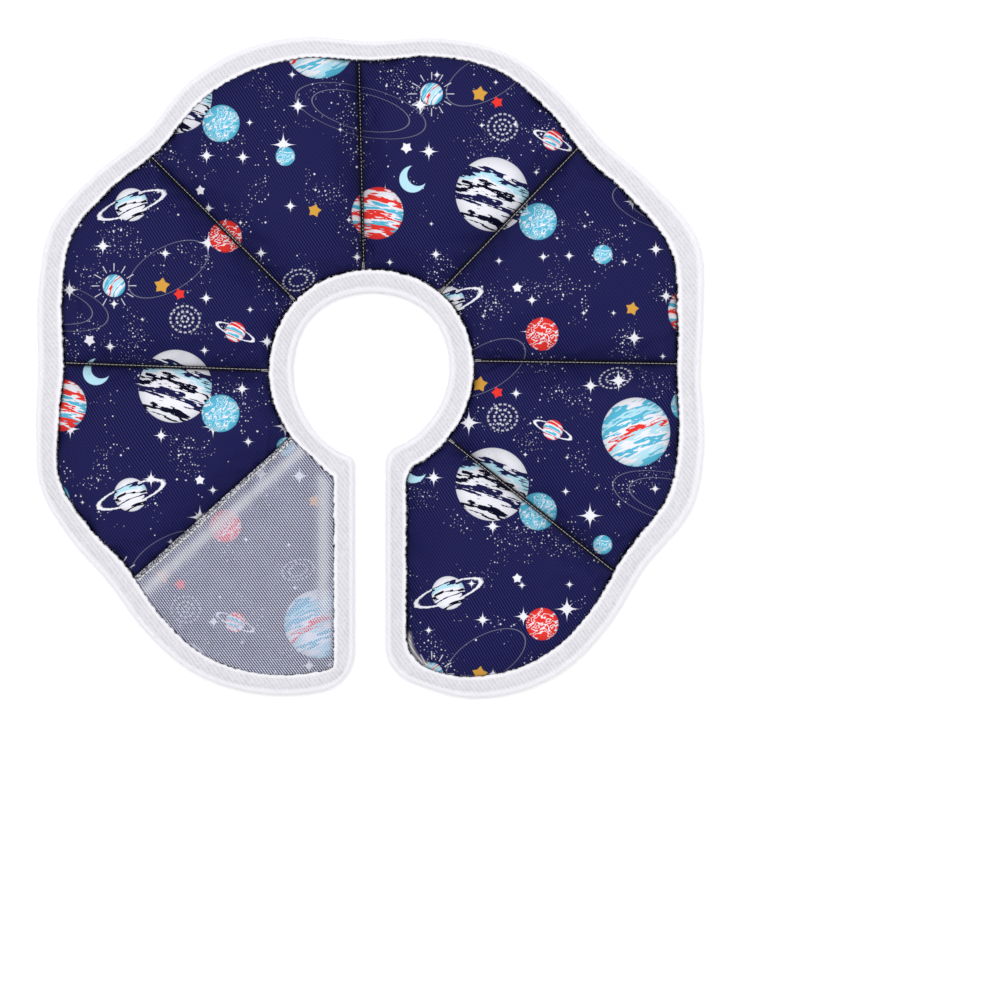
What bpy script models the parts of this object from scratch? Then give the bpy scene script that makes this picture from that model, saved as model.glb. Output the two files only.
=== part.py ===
"""Soft recovery collar, laid open and flat.

An open ring of eight quilted panels round a neck hole, a plush binding folded over its whole edge, and a
sheet of hook tape over the front of the left end panel. Lengths are in metres. Angles are in degrees,
counted from +X towards +Y about the middle of the neck hole. The front faces +Z, the closing gap faces -Y,
and the back rests on z = 0.
"""

import math
from collections import namedtuple

import bmesh
import bpy
import numpy as np

# Plan of the collar
NECK_RADIUS = 0.0385  # neck hole, measured to the outside of its binding
PANEL_DEPTH = 0.1205  # from the neck hole to the rim, where the rim dips at a seam
SCALLOP_RISE = 0.0096  # how much further the rim stands in the middle of a panel
CLOSING_GAP = 0.0154  # between the two ends
GAP_SHIFT = -0.0005  # the gap's middle, sideways from the neck hole's middle
CORNER_RADIUS = 0.0180  # what the four corners of the ends are rounded by shares of

# Quilted pad
PAD_THICKNESS = 0.0120  # in the middle of a panel
PRESSED_THICKNESS = 0.0020  # along a seam, and inside the binding
SEAM_FLAT = 0.0026  # width of the pressed line along a seam
PUFF_ROLL = 0.0150  # width over which the front rises from a seam or from the binding
UNDER_ROLL = 0.0070  # width over which the back comes down to the surface that it rests on
PUFF_POWER = 2.3  # how full the front is beside a seam: higher is steeper there and flatter in the middle
UNDER_POWER = 2.0

# Plush binding
BINDING_WIDTH = 0.0110  # on the front, from the outside edge to its sewn edge
BINDING_WALL = 0.0013
BINDING_CROWN = 0.0004  # how far its front swells between the fold and the sewn edge
END_BINDING = 0.87  # share of BINDING_WIDTH that shows along the two ends

# Hook panel
HOOK_WALL = 0.0010
HEM_WALL = 0.0016  # where its edge is folded under along the seam
HEM_COLUMNS = 3  # the columns that the folded edge covers: the seam and both sides of its pressed strip

CLEARANCE = 0.0003  # between any two pieces

# The rim, from the right end round to the left end: how far it stands out, as a share of SCALLOP_RISE, and
# the width of its binding, as a share of BINDING_WIDTH.
Rim = namedtuple("Rim", "deg rise binding")
RIM = (
    Rim(-88, -1.90, 0.90),
    Rim(-80, -0.65, 0.90),
    Rim(-75, 0.12, 0.92),
    Rim(-67, 0.85, 0.97),
    Rim(-57, 1.12, 1.00),
    Rim(-47, 0.74, 1.00),
    Rim(-36, 0.18, 1.00),
    Rim(-21, 0.82, 1.15),
    Rim(-13, 0.50, 1.10),
    Rim(0, -0.10, 0.97),
    Rim(11, 0.35, 1.10),
    Rim(22, 1.10, 1.25),
    Rim(34, 0.42, 1.10),
    Rim(45, -0.12, 1.00),
    Rim(56, 0.37, 0.90),
    Rim(67, 0.86, 0.85),
    Rim(78, 0.60, 0.82),
    Rim(90, 0.08, 0.82),
    Rim(102, 0.66, 0.92),
    Rim(112, 0.90, 1.00),
    Rim(122, 0.64, 0.96),
    Rim(133, -0.08, 0.90),
    Rim(145, 0.55, 0.96),
    Rim(155, 1.07, 1.00),
    Rim(166, 0.60, 1.06),
    Rim(179, 0.10, 1.10),
    Rim(190, 0.46, 0.97),
    Rim(199, 0.90, 0.87),
    Rim(208, 0.62, 0.95),
    Rim(218, 0.20, 1.02),
    Rim(229, 0.56, 0.94),
    Rim(239, 0.80, 0.87),
    Rim(250, 0.40, 0.88),
    Rim(260, -0.40, 0.90),
    Rim(269, -1.40, 0.90),
)

# The neck hole, the same way round: its radius, as a share of NECK_RADIUS, and the width of its binding, as
# a share of BINDING_WIDTH.
Neck = namedtuple("Neck", "deg radius binding")
NECK = (
    Neck(-86, 0.960, 1.05),
    Neck(-60, 0.960, 1.05),
    Neck(-38, 0.945, 1.05),
    Neck(0, 0.981, 1.03),
    Neck(45, 1.045, 0.97),
    Neck(90, 1.020, 0.97),
    Neck(135, 1.035, 0.95),
    Neck(180, 0.981, 1.00),
    Neck(222, 1.000, 0.92),
    Neck(236, 1.030, 0.86),
    Neck(250, 1.060, 1.08),
    Neck(266, 1.070, 1.20),
)

# The quilting seams, the same way round: where each meets the neck binding and the rim binding.
Seam = namedtuple("Seam", "neck_deg rim_deg")
SEAMS = (
    Seam(-40.0, -39.0),
    Seam(7.5, 2.0),
    Seam(50.0, 47.6),
    Seam(94.2, 92.3),
    Seam(136.0, 135.4),
    Seam(178.0, 178.0),
    Seam(218.7, 220.9),
)

# The four corners of the ends: the rounding of the outside edge and of the binding's sewn edge, as shares
# of CORNER_RADIUS.
Corner = namedtuple("Corner", "side place outside sewn")
RIGHT_NECK = Corner(1, "neck", 0.50, 0.62)
RIGHT_RIM = Corner(1, "rim", 1.00, 0.95)
LEFT_NECK = Corner(-1, "neck", 0.17, 0.14)
LEFT_RIM = Corner(-1, "rim", 1.10, 0.16)

# Where the columns lie, as shares of the way across a panel, or across an end panel from its seam to its
# end, and the rows, as shares of the way from the neck to the rim. The binding's sections stand where they
# meet the edge.
PANEL_STOPS = (0.0, 0.06, 0.14, 0.25, 0.375, 0.5, 0.625, 0.75, 0.86, 0.94, 1.0)
END_STOPS = (0.0, 0.06, 0.16, 0.30, 0.46, 0.62, 0.76, 0.85, 0.91, 0.955, 0.98, 1.0)
ROW_STOPS = (0.0, 0.025, 0.06, 0.11, 0.19, 0.32, 0.5, 0.68, 0.81, 0.89, 0.94, 0.975, 1.0)

# The outside of the binding's folded section, from its sewn edge on the back round to the one on the front:
# how far in from the outside edge, as a share of its width, how high, as a share of its height, and its
# share of the crown.
Fold = namedtuple("Fold", "inward height crown")
OUTER_FOLD = (
    Fold(1.00, 0.00, 0.0),
    Fold(0.12, 0.00, 0.0),
    Fold(0.00, 0.28, 0.0),
    Fold(0.00, 0.72, 0.0),
    Fold(0.12, 1.00, 0.2),
    Fold(0.50, 1.00, 1.0),
    Fold(1.00, 0.92, 0.0),
)

# Fineness of the curves and of the shading
CURVE_STEPS = 1200
ARC_STEPS = 24
SEARCH_STEPS = 40
SHORTEST_RUN = 1e-9  # a piece of a line shorter than this counts as a point
SHARP_DEG = 50.0

# The plain finishes: a screen colour, from 0 to 255 each, and a roughness
Finish = namedtuple("Finish", "screen_colour roughness")
PRINTED_CLOTH = Finish((42, 41, 87), 0.55)
PLUSH = Finish((230, 229, 234), 0.9)
HOOK_TAPE = Finish((147, 149, 170), 0.45)

# Heights that follow from the sizes above
PRESSED_BOTTOM = BINDING_WALL + CLEARANCE
PRESSED_TOP = PRESSED_BOTTOM + PRESSED_THICKNESS
BINDING_HEIGHT = PRESSED_TOP + CLEARANCE + BINDING_WALL


def table_curve(rows, column, degrees):
    """Smooth curve through one column of a table: a cubic between rows, with slopes from their neighbours."""
    knots = np.array([row.deg for row in rows], dtype=float)
    values = np.array([getattr(row, column) for row in rows])
    slopes = np.gradient(values, knots)
    row = np.clip(np.searchsorted(knots, degrees) - 1, 0, len(knots) - 2)
    width = knots[row + 1] - knots[row]
    t = (degrees - knots[row]) / width
    start = (2 * t**3 - 3 * t**2 + 1) * values[row] + (t**3 - 2 * t**2 + t) * width * slopes[row]
    end = (3 * t**2 - 2 * t**3) * values[row + 1] + (t**3 - t**2) * width * slopes[row + 1]
    return start + end


def ring_points(degrees, radius):
    angle = np.radians(degrees)
    return np.stack((radius * np.cos(angle), radius * np.sin(angle)), axis=-1)


def edge_curve(place, level):
    """The rim's or the neck hole's angles and points: its outside edge at level 0, its sewn edge at 1."""
    rows = RIM if place == "rim" else NECK
    degrees = np.linspace(rows[0].deg, rows[-1].deg, CURVE_STEPS)
    if place == "rim":
        outside = NECK_RADIUS + PANEL_DEPTH + SCALLOP_RISE * table_curve(RIM, "rise", degrees)
        radius = outside - level * BINDING_WIDTH * table_curve(RIM, "binding", degrees)
    else:
        outside = NECK_RADIUS * table_curve(NECK, "radius", degrees)
        radius = outside + level * BINDING_WIDTH * table_curve(NECK, "binding", degrees)
    return degrees, ring_points(degrees, radius)


def end_x(side, level):
    return GAP_SHIFT + side * (CLOSING_GAP / 2 + level * END_BINDING * BINDING_WIDTH)


def corner_arc(corner, level):
    """The arc that rounds an end's corner: its middle, its radius, and where it runs into the curve.

    The middle stays one radius inside the end's line, and slides along it until it is one radius from the
    curve.
    """
    radius = CORNER_RADIUS * (corner.sewn if level else corner.outside)
    points = edge_curve(corner.place, level)[1]
    across = end_x(corner.side, level) + corner.side * radius
    inside = -(NECK_RADIUS + PANEL_DEPTH / 2)
    outwards, outside = (1, 2 * inside) if corner.place == "rim" else (-1, 0.0)
    for _ in range(SEARCH_STEPS):
        middle = np.array((across, (inside + outside) / 2))
        away = np.linalg.norm(points - middle, axis=1)
        nearest = points[away.argmin()]
        on_cloth = outwards * (np.linalg.norm(nearest) - np.linalg.norm(middle)) > 0
        if on_cloth and away.min() > radius:
            inside = middle[1]
        else:
            outside = middle[1]
    return middle, radius, int(away.argmin()), nearest


def half_arcs(corner, level):
    """The two halves of a corner's arc, each running away from the arc's own middle point."""
    middle, radius, _, touch = corner_arc(corner, level)
    to_line = np.array((-corner.side, 0.0))
    to_curve = (touch - middle) / np.linalg.norm(touch - middle)
    start = math.atan2(*(to_line + to_curve)[::-1])
    halves = []
    for direction in (to_line, to_curve):
        turn = math.atan2(*direction[::-1]) - start
        turn = (turn + math.pi) % (2 * math.pi) - math.pi
        angles = start + turn * np.linspace(0.0, 1.0, ARC_STEPS)
        halves.append(middle + radius * np.stack((np.cos(angles), np.sin(angles)), axis=-1))
    return halves


def lengths_along(points):
    steps = np.linalg.norm(np.diff(points, axis=0), axis=1)
    return np.concatenate(([0.0], np.cumsum(steps)))


def points_at(points, lengths):
    """Points of a line at the given lengths along it."""
    along = lengths_along(points)
    return np.stack([np.interp(lengths, along, points[:, axis]) for axis in (0, 1)], axis=-1)


def curved_side(place, level):
    """The rim's or the neck's line, from the right end to the left, and the lengths where its panels part."""
    right, left = (RIGHT_RIM, LEFT_RIM) if place == "rim" else (RIGHT_NECK, LEFT_NECK)
    degrees, points = edge_curve(place, level)
    first = corner_arc(right, level)[2]
    last = corner_arc(left, level)[2]
    head = half_arcs(right, level)[1]
    tail = half_arcs(left, level)[1][::-1]
    curve = slice(first + 1, last)
    line = np.concatenate((head, points[curve], tail))
    along = lengths_along(line)
    seam_degrees = [getattr(seam, place + "_deg") for seam in SEAMS]
    partings = np.interp(seam_degrees, degrees[curve], along[len(head) : len(head) + last - first - 1])
    return line, np.concatenate(([0.0], partings, [along[-1]]))


def end_side(side, level):
    """An end's line from its neck corner to its rim corner."""
    neck, rim = (RIGHT_NECK, RIGHT_RIM) if side > 0 else (LEFT_NECK, LEFT_RIM)
    return np.concatenate((half_arcs(neck, level)[0], half_arcs(rim, level)[0][::-1]))


def spread(partings):
    """Lengths along a curved side: every panel's stops, the seams and both sides of their pressed strips."""
    last = len(SEAMS)
    lengths = []
    for panel in range(last + 1):
        shares = np.array(PANEL_STOPS)
        if panel == 0:
            shares = 1.0 - np.array(END_STOPS)[::-1]
        if panel == last:
            shares = np.array(END_STOPS)
        start = partings[panel] + (SEAM_FLAT / 2 if panel > 0 else 0.0)
        stop = partings[panel + 1] - (SEAM_FLAT / 2 if panel < last else 0.0)
        lengths.extend(start + (stop - start) * shares)
        if panel < last:
            lengths.append(partings[panel + 1])
    return np.array(lengths)


def sides_at(level):
    """The four sides of the plan at one level, shared out into the same number of points at every level."""
    sides = {}
    for place in ("rim", "neck"):
        line, partings = curved_side(place, level)
        sides[place] = points_at(line, spread(partings))
    for name, side in (("right", 1), ("left", -1)):
        line = end_side(side, level)
        sides[name] = points_at(line, np.array(ROW_STOPS) * lengths_along(line)[-1])
    return sides


def between(outside, sewn, inward):
    """The sides that lie this share of the binding's width in from the outside edge."""
    return {name: outside[name] + inward * (sewn[name] - outside[name]) for name in outside}


def closed_loop(sides):
    """One turn round the whole edge: rim, left end, neck hole the other way, right end."""
    parts = (sides["rim"], sides["left"][::-1], sides["neck"][::-1], sides["right"])
    return np.concatenate([part[:-1] for part in parts])


def distance_to_line(points, line):
    """How far each point is from the nearest part of a line."""
    start = line[:-1]
    run = line[1:] - start
    length_squared = np.maximum((run**2).sum(axis=1), SHORTEST_RUN**2)
    nearest = np.full(len(points), np.inf)
    for one_start, one_run, squared in zip(start, run, length_squared, strict=True):
        share = np.clip(((points - one_start) @ one_run) / squared, 0.0, 1.0)
        away = np.linalg.norm(points - one_start - share[:, None] * one_run, axis=1)
        nearest = np.minimum(nearest, away)
    return nearest


def roll(distance, width, power):
    """Rises from 0 to 1 over a width: 1 - (1 - distance / width) ** power."""
    return 1.0 - (1.0 - np.clip(distance / width, 0.0, 1.0)) ** power


def pad_heights(points, crease, seam_lines):
    """Heights of the pad's front and back: pressed along the seams and the binding, full between them."""
    edge = distance_to_line(points, np.concatenate((crease, crease[:1])))
    seam = np.min([distance_to_line(points, line) for line in seam_lines], axis=0) - SEAM_FLAT / 2
    full = roll(edge, PUFF_ROLL, PUFF_POWER) * roll(seam, PUFF_ROLL, PUFF_POWER)
    rested = roll(edge, UNDER_ROLL, UNDER_POWER) * roll(seam, UNDER_ROLL, UNDER_POWER)
    return PRESSED_TOP + (PAD_THICKNESS - PRESSED_TOP) * full, PRESSED_BOTTOM * (1.0 - rested)


def pad_plan():
    """The pad's points in plan: columns by rows inside the binding, and the edge tucked under the binding.

    A column is a straight line from the neck to the rim. In the two end panels the columns lean over to
    follow the end's own line, by less and less towards the seam.
    """
    outside, sewn = sides_at(0), sides_at(1)
    crease = between(outside, sewn, 1.0 + CLEARANCE / BINDING_WIDTH)
    tucked = between(outside, sewn, (BINDING_WALL + CLEARANCE) / BINDING_WIDTH)
    rows = np.array(ROW_STOPS)[None, :, None]
    grid = (1.0 - rows) * crease["neck"][:, None] + rows * crease["rim"][:, None]
    for name, step in (("right", 1), ("left", -1)):
        first = 0 if step > 0 else -1
        lean = crease[name] - grid[first]
        for count, weight in enumerate(END_STOPS[::-1]):
            grid[first + step * count] += weight * lean
    return grid, closed_loop(tucked)


def seam_columns():
    """The columns that run along the seams: each follows the stops of the panel before it."""
    return [len(END_STOPS) + count * (len(PANEL_STOPS) + 1) for count in range(len(SEAMS))]


def sheet_faces(at):
    """Four-sided faces between the numbered points of a sheet of columns by rows."""
    corners = (at[:-1, :-1], at[1:, :-1], at[1:, 1:], at[:-1, 1:])
    return np.stack([corner.ravel() for corner in corners], axis=-1).tolist()


def band_faces(first, second):
    """Four-sided faces between two closed rows of numbered points."""
    corners = (first, np.roll(first, -1), np.roll(second, -1), second)
    return np.stack(corners, axis=-1).tolist()


def outline_of(at):
    """The numbered points round a sheet of columns by rows, in the order of closed_loop."""
    return closed_loop({"rim": at[:, -1], "left": at[-1], "neck": at[:, 0], "right": at[0]})


def raised(points, heights):
    """Points of the plan with their heights."""
    flat = points.reshape(-1, 2)
    return np.column_stack((flat, np.broadcast_to(heights, len(flat))))


def linear(red, green, blue):
    """A screen colour, from 0 to 255 each, as the linear light that a material holds."""
    shares = np.array((red, green, blue)) / 255.0
    return np.where(shares <= 0.04045, shares / 12.92, ((shares + 0.055) / 1.055) ** 2.4).tolist()


def make_object(name, points, faces, finish, parent):
    """A mesh object with its own plain material, its faces turned outwards."""
    mesh = bpy.data.meshes.new(name)
    mesh.from_pydata(points.tolist(), [], faces)
    build = bmesh.new()
    build.from_mesh(mesh)
    bmesh.ops.recalc_face_normals(build, faces=build.faces)
    build.to_mesh(mesh)
    build.free()
    mesh.shade_smooth()
    mesh.set_sharp_from_angle(angle=math.radians(SHARP_DEG))
    material = bpy.data.materials.new(name + "_finish")
    material.use_nodes = True
    shader = material.node_tree.nodes["Principled BSDF"]
    shader.inputs["Base Color"].default_value = (*linear(*finish.screen_colour), 1.0)
    shader.inputs["Roughness"].default_value = finish.roughness
    shader.inputs["Metallic"].default_value = 0.0
    mesh.materials.append(material)
    made = bpy.data.objects.new(name, mesh)
    made.parent = parent
    bpy.context.scene.collection.objects.link(made)


def make_pad(grid, tucked, top, bottom, parent):
    """The front and the back as two sheets over one plan, joined by the thin edge that the binding hides."""
    size = grid.shape[0] * grid.shape[1]
    front = np.arange(size).reshape(grid.shape[:2])
    back = front + size
    front_edge = 2 * size + np.arange(len(tucked))
    back_edge = front_edge + len(tucked)
    sheets = (raised(grid, top), raised(grid, bottom))
    edges = (raised(tucked, PRESSED_TOP), raised(tucked, PRESSED_BOTTOM))
    points = np.concatenate(sheets + edges)
    faces = (
        sheet_faces(front)
        + sheet_faces(back)
        + band_faces(outline_of(front), front_edge)
        + band_faces(front_edge, back_edge)
        + band_faces(back_edge, outline_of(back))
    )
    make_object("quilted_pad", points, faces, PRINTED_CLOTH, parent)


def make_binding(parent):
    """One folded section carried along the whole edge, round the rim, both ends and the neck hole."""
    outside, sewn = closed_loop(sides_at(0)), closed_loop(sides_at(1))
    inner_fold = BINDING_WALL / BINDING_WIDTH
    section = []
    for fold in OUTER_FOLD:
        section.append((fold.inward, BINDING_HEIGHT * fold.height + BINDING_CROWN * fold.crown))
    section += [
        (1.0, BINDING_HEIGHT - BINDING_WALL),
        (inner_fold, BINDING_HEIGHT - BINDING_WALL),
        (inner_fold, BINDING_WALL),
        (1.0, BINDING_WALL),
    ]
    count = len(outside)
    points = []
    for inward, height in section:
        points.append(raised(outside + inward * (sewn - outside), height))
    points = np.concatenate(points)
    rows = np.arange(len(section) * count).reshape(len(section), count)
    faces = []
    for row, following in zip(rows, np.roll(rows, -1, axis=0), strict=True):
        faces += band_faces(row, following)
    make_object("edge_binding", points, faces, PLUSH, parent)


def make_hook_panel(grid, top, parent):
    """A sheet over the left end panel, from just past its seam to the binding on its other three sides."""
    hem = seam_columns()[-1]
    covered = grid[hem - 1 :]
    under = top.reshape(grid.shape[:2])[hem - 1 :] + CLEARANCE
    wall = np.full(under.shape, HOOK_WALL)
    wall[:HEM_COLUMNS] = HEM_WALL
    over = under + wall
    size = over.size
    back = np.arange(size).reshape(over.shape)
    front = back + size
    faces = sheet_faces(back) + sheet_faces(front) + band_faces(outline_of(back), outline_of(front))
    points = np.concatenate((raised(covered, under.ravel()), raised(covered, over.ravel())))
    make_object("hook_panel", points, faces, HOOK_TAPE, parent)


def main():
    for item in list(bpy.data.objects):
        bpy.data.objects.remove(item, do_unlink=True)
    outside = closed_loop(sides_at(0))
    collar = bpy.data.objects.new("collar", None)
    collar.location = (*(-(outside.min(axis=0) + outside.max(axis=0)) / 2), 0.0)
    bpy.context.scene.collection.objects.link(collar)

    grid, tucked = pad_plan()
    numbers = np.arange(grid.shape[0] * grid.shape[1]).reshape(grid.shape[:2])
    crease = grid.reshape(-1, 2)[outline_of(numbers)]
    seam_lines = [grid[column] for column in seam_columns()]
    top, bottom = pad_heights(grid.reshape(-1, 2), crease, seam_lines)
    make_pad(grid, tucked, top, bottom, collar)
    make_binding(collar)
    make_hook_panel(grid, top, collar)


main()
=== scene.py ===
import itertools
import math

import bpy
import numpy as np
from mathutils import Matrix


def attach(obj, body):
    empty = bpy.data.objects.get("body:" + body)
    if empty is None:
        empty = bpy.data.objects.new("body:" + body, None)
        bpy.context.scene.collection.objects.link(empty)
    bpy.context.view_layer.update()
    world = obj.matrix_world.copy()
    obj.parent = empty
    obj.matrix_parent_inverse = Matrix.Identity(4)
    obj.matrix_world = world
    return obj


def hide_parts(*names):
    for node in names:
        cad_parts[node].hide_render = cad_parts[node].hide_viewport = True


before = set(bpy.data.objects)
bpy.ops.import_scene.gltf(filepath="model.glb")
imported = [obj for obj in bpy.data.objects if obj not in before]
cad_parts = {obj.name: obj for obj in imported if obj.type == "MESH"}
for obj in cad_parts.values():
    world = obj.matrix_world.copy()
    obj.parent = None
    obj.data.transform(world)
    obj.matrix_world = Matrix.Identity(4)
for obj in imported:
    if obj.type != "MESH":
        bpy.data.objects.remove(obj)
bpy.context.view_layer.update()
print("frame loaded")

# Plan of the collar, as the construction has it. Lengths in metres, angles in degrees from +X about the
# middle of the neck hole.
plan = {
    "neckRadius": 0.0385,
    "panelDepth": 0.1205,
    "scallopRise": 0.0096,
    "closingGap": 0.0154,
    "gapShift": -0.0005,
    "cornerRadius": 0.0180,
    "bindingWidth": 0.0110,
    "endBinding": 0.87,
    "seamFlat": 0.0012,
    "clearance": 0.0003,
}

# The rim, from the right end round to the left: degrees, rise as a share of scallopRise, and the binding's
# width as a share of bindingWidth
rimRows = (
    (-88, -1.90, 0.90),
    (-80, -0.65, 0.90),
    (-75, 0.12, 0.92),
    (-67, 0.85, 0.97),
    (-57, 1.12, 1.00),
    (-47, 0.74, 1.00),
    (-36, 0.18, 1.00),
    (-21, 0.82, 1.15),
    (-13, 0.50, 1.10),
    (0, -0.10, 0.97),
    (11, 0.35, 1.10),
    (22, 1.10, 1.25),
    (34, 0.42, 1.10),
    (45, -0.12, 1.00),
    (56, 0.37, 0.90),
    (67, 0.86, 0.85),
    (78, 0.60, 0.82),
    (90, 0.08, 0.82),
    (102, 0.66, 0.92),
    (112, 0.90, 1.00),
    (122, 0.64, 0.96),
    (133, -0.08, 0.90),
    (145, 0.55, 0.96),
    (155, 1.07, 1.00),
    (166, 0.60, 1.06),
    (179, 0.10, 1.10),
    (190, 0.46, 0.97),
    (199, 0.90, 0.87),
    (208, 0.62, 0.95),
    (218, 0.20, 1.02),
    (229, 0.56, 0.94),
    (239, 0.80, 0.87),
    (250, 0.40, 0.88),
    (260, -0.40, 0.90),
    (269, -1.40, 0.90),
)

# The neck hole, the same way round: degrees, radius as a share of neckRadius, and the binding's share
neckRows = (
    (-86, 0.960, 1.05),
    (-60, 0.960, 1.05),
    (-38, 0.945, 1.05),
    (0, 0.981, 1.03),
    (45, 1.045, 0.97),
    (90, 1.020, 0.97),
    (135, 1.035, 0.95),
    (180, 0.981, 1.00),
    (222, 1.000, 0.92),
    (236, 1.030, 0.86),
    (250, 1.060, 1.08),
    (266, 1.070, 1.20),
)

# The quilting seams: degrees at the neck hole, degrees at the rim
seamRows = (
    (-40.0, -39.0),
    (7.5, 2.0),
    (50.0, 47.6),
    (94.2, 92.3),
    (136.0, 135.4),
    (178.0, 178.0),
    (218.7, 220.9),
)

# Corners of the ends: rounding of the outside edge and of the sewn edge, as shares of cornerRadius
corners = {
    (1, "neck"): (0.50, 0.62),
    (1, "rim"): (1.00, 0.95),
    (-1, "neck"): (0.17, 0.14),
    (-1, "rim"): (1.10, 0.16),
}

# Fineness of the curves, of a corner's half arc and of the search for its middle
curveSteps = 2400
arcSteps = 60
searchSteps = 40


# A cubic between two rows of a table, its slopes taken from their neighbours
def tableCurve(knots, values, degrees):
    slopes = np.gradient(values, knots)
    row = np.clip(np.searchsorted(knots, degrees) - 1, 0, len(knots) - 2)
    width = knots[row + 1] - knots[row]
    t = (degrees - knots[row]) / width
    start = (2 * t**3 - 3 * t**2 + 1) * values[row] + (t**3 - 2 * t**2 + t) * width * slopes[row]
    end = (3 * t**2 - 2 * t**3) * values[row + 1] + (t**3 - t**2) * width * slopes[row + 1]
    return start + end


# The rim's or the neck hole's line: its outside edge at level 0, the binding's sewn edge at level 1
def edgeCurve(place, level):
    knots, radii, widths = np.array(rimRows if place == "rim" else neckRows, dtype=float).T
    degrees = np.linspace(knots[0], knots[-1], curveSteps)
    width = plan["bindingWidth"] * tableCurve(knots, widths, degrees)
    shape = tableCurve(knots, radii, degrees)
    if place == "rim":
        radius = plan["neckRadius"] + plan["panelDepth"] + plan["scallopRise"] * shape - level * width
    else:
        radius = plan["neckRadius"] * shape + level * width
    angle = np.radians(degrees)
    return degrees, np.stack((radius * np.cos(angle), radius * np.sin(angle)), axis=-1)


# The arc that rounds an end's corner, found by sliding its middle until it is one radius from the curve
def cornerArc(side, place, level):
    radius = plan["cornerRadius"] * corners[side, place][level]
    points = edgeCurve(place, level)[1]
    bound = level * plan["endBinding"] * plan["bindingWidth"]
    across = plan["gapShift"] + side * (plan["closingGap"] / 2 + bound)
    across += side * radius
    inside = -(plan["neckRadius"] + plan["panelDepth"] / 2)
    outwards, outside = (1, 2 * inside) if place == "rim" else (-1, 0.0)
    for _ in range(searchSteps):
        middle = np.array((across, (inside + outside) / 2))
        away = np.linalg.norm(points - middle, axis=1)
        nearest = points[away.argmin()]
        onCloth = outwards * (np.linalg.norm(nearest) - np.linalg.norm(middle)) > 0
        if onCloth and away.min() > radius:
            inside = middle[1]
        else:
            outside = middle[1]
    return middle, radius, int(away.argmin()), nearest


# The two halves of a corner's arc, each running away from its middle point: one towards the end's line and
# one towards the curve
def halfArcs(side, place, level):
    middle, radius, _, touch = cornerArc(side, place, level)
    toLine = np.array((-side, 0.0))
    toCurve = (touch - middle) / np.linalg.norm(touch - middle)
    start = math.atan2(*(toLine + toCurve)[::-1])
    halves = []
    for direction in (toLine, toCurve):
        turn = math.atan2(*direction[::-1]) - start
        turn = (turn + math.pi) % (2 * math.pi) - math.pi
        angles = start + turn * np.linspace(0.0, 1.0, arcSteps)
        halves.append(middle + radius * np.stack((np.cos(angles), np.sin(angles)), axis=-1))
    return halves


# Length of a line up to each of its points: the running sum of its steps
def lengthsAlong(points):
    return np.concatenate(([0.0], np.cumsum(np.linalg.norm(np.diff(points, axis=0), axis=1))))


# Points of a line at the given lengths along it, straight between its own points
def pointsAt(points, lengths):
    along = lengthsAlong(points)
    return np.stack([np.interp(lengths, along, column) for column in points.T], axis=-1)


# The rim's or the neck's line from the right end to the left, and the lengths where its panels part
def curvedSide(place, level):
    degrees, points = edgeCurve(place, level)
    first = cornerArc(1, place, level)[2]
    last = cornerArc(-1, place, level)[2]
    head = halfArcs(1, place, level)[1]
    tail = halfArcs(-1, place, level)[1][::-1]
    curve = slice(first + 1, last)
    line = np.concatenate((head, points[curve], tail))
    along = lengthsAlong(line)
    seamDegrees = np.array(seamRows)[:, 0 if place == "neck" else 1]
    partings = np.interp(seamDegrees, degrees[curve], along[len(head) : len(head) + last - first - 1])
    return line, np.concatenate(([0.0], partings, [along[-1]]))


# Lengths along a curved side: each panel's stops, the seams and both sides of their pressed strips
def spread(partings, stops):
    last = len(seamRows)
    lengths = []
    for panel in range(last + 1):
        start = partings[panel] + (plan["seamFlat"] / 2 if panel > 0 else 0.0)
        stop = partings[panel + 1] - (plan["seamFlat"] / 2 if panel < last else 0.0)
        lengths.extend(start + (stop - start) * stops)
        if panel < last:
            lengths.append(partings[panel + 1])
    return np.array(lengths)


# The four sides of the plan at one level, moved so that the outline's middle is at the origin
def sidesAt(level, rimStops, neckStops, rowStops):
    sides = {}
    for place, stops in (("rim", rimStops), ("neck", neckStops)):
        line, partings = curvedSide(place, level)
        sides[place] = pointsAt(line, spread(partings, stops)) - outlineMiddle
    for name, side in (("right", 1), ("left", -1)):
        line = np.concatenate((halfArcs(side, "neck", level)[0], halfArcs(side, "rim", level)[0][::-1]))
        sides[name] = pointsAt(line, rowStops * lengthsAlong(line)[-1]) - outlineMiddle
    return sides


# One turn round the whole edge: rim, left end, neck hole the other way, right end
def closedLoop(sides):
    parts = (sides["rim"], sides["left"][::-1], sides["neck"][::-1], sides["right"])
    return np.concatenate([part[:-1] for part in parts])


# Evenly spaced shares from 0 to 1, drawn towards both ends by this much
def drawnStops(count, drawn):
    t = np.linspace(0.0, 1.0, count)
    return t - drawn * np.sin(2 * math.pi * t) / (2 * math.pi)


# Middle of the box round the rim, which is the frame's origin
outline = curvedSide("rim", 0)[0]
outlineMiddle = (outline.min(axis=0) + outline.max(axis=0)) / 2


# Odd numbers that scatter the noise: one for each direction, one for the seed, two for mixing, and a mask
cellNumbers = np.array((73856093, 19349663, 83492791))
seedNumber = 2654435
mixNumbers = ((13, 1274126177), (15, 668265263))
noiseMask = 0x7FFFFFFF


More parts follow.
